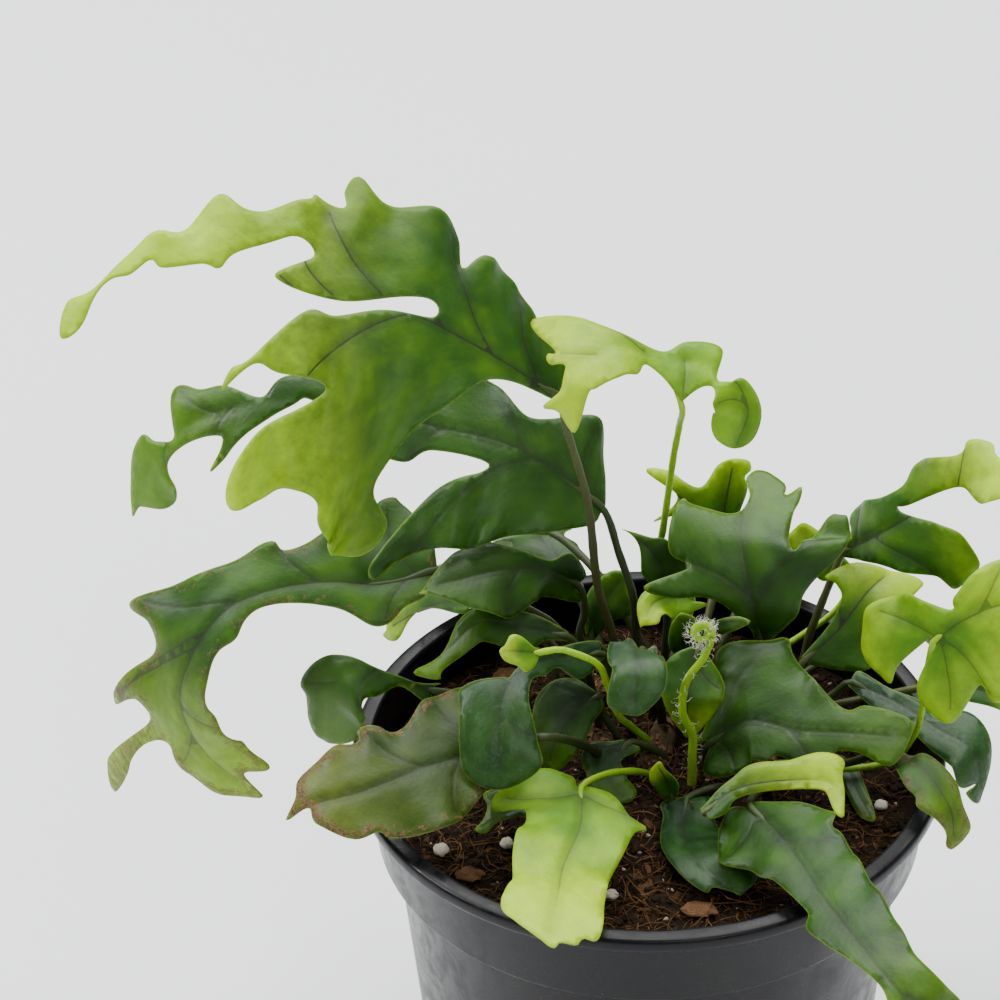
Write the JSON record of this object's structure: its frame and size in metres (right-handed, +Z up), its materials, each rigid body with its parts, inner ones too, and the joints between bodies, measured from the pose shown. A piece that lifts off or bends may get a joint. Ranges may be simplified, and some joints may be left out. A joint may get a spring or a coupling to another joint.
{
  "type": "potted fern",
  "caption": "Young lobed fern with glossy wavy fronds on thin stalks, growing from creeping rootstocks in the bark mix of a round black nursery pot.",
  "frame": {"origin": "centre of the pot's base, on the surface that it stands on", "axes": "+Z up, -Y towards the side that is looked at, +X to its right"},
  "size_m": [0.1944, 0.1597, 0.2238],
  "materials": {
    "black_plastic": "black moulded polypropylene, satin, scuffed at the rim",
    "potting_mix": "damp peat and coir fibre",
    "rootstock": "scaly brown creeping rootstock",
    "dark_frond": "glossy leathery dark green blade",
    "green_frond": "glossy leathery mid green blade",
    "young_frond": "glossy young lime yellow blade",
    "bark": "rough composted bark",
    "perlite": "puffed white mineral grain"
  },
  "bodies": {
    "root": {"pot": "black_plastic", "potting_mix": "potting_mix", "rootstock_back": "rootstock", "rootstock_left": "rootstock", "rootstock_middle": "rootstock", "rootstock_right": "rootstock", "frond_tall_left": "green_frond", "frond_mid_left": "dark_frond", "frond_long_left": "green_frond", "frond_dark_left": "dark_frond", "frond_back_left": "green_frond", "frond_over_left_rim": "dark_frond", "frond_dark_lower_left": "dark_frond", "frond_curled_left": "dark_frond", "frond_front_glossy": "dark_frond", "frond_front_lime": "young_frond", "leaf_under_lime": "dark_frond", "young_leaf": "young_frond", "small_round_dark": "dark_frond", "rounded_mid_green": "green_frond", "small_round_back": "dark_frond", "small_oval_back": "dark_frond", "frond_star": "dark_frond", "frond_curly_back": "green_frond", "frond_behind_star": "dark_frond", "leaf_bright_under_star": "young_frond", "frond_top_young": "young_frond", "frond_right_high": "green_frond", "frond_light_right": "green_frond", "frond_lime_right": "young_frond", "frond_dark_centre_right": "dark_frond", "frond_bright_narrow": "green_frond", "frond_front_right": "dark_frond", "frond_low_front": "dark_frond", "frond_spotted_right": "dark_frond", "frond_bluish_right": "dark_frond", "bud_leaf": "green_frond", "leaf_in_pot_right": "dark_frond", "leaf_in_pot_left": "dark_frond", "leaf_in_pot_middle": "dark_frond", "leaf_behind_stems": "dark_frond", "frond_far_right": "green_frond", "frond_back_stem": "dark_frond", "leaf_lime_behind": "young_frond", "frond_back_a": "dark_frond", "frond_back_b": "dark_frond", "frond_back_c": "dark_frond", "frond_back_d": "dark_frond", "frond_back_e": "dark_frond", "crozier": "young_frond", "bark_chip_front": "bark", "bark_chip_left": "bark", "bark_chip_right": "bark", "bark_chip_back": "bark", "perlite_grain_front": "perlite", "perlite_grain_left": "perlite", "perlite_grain_right": "perlite", "perlite_grain_middle": "perlite"}
  },
  "joints": []
}
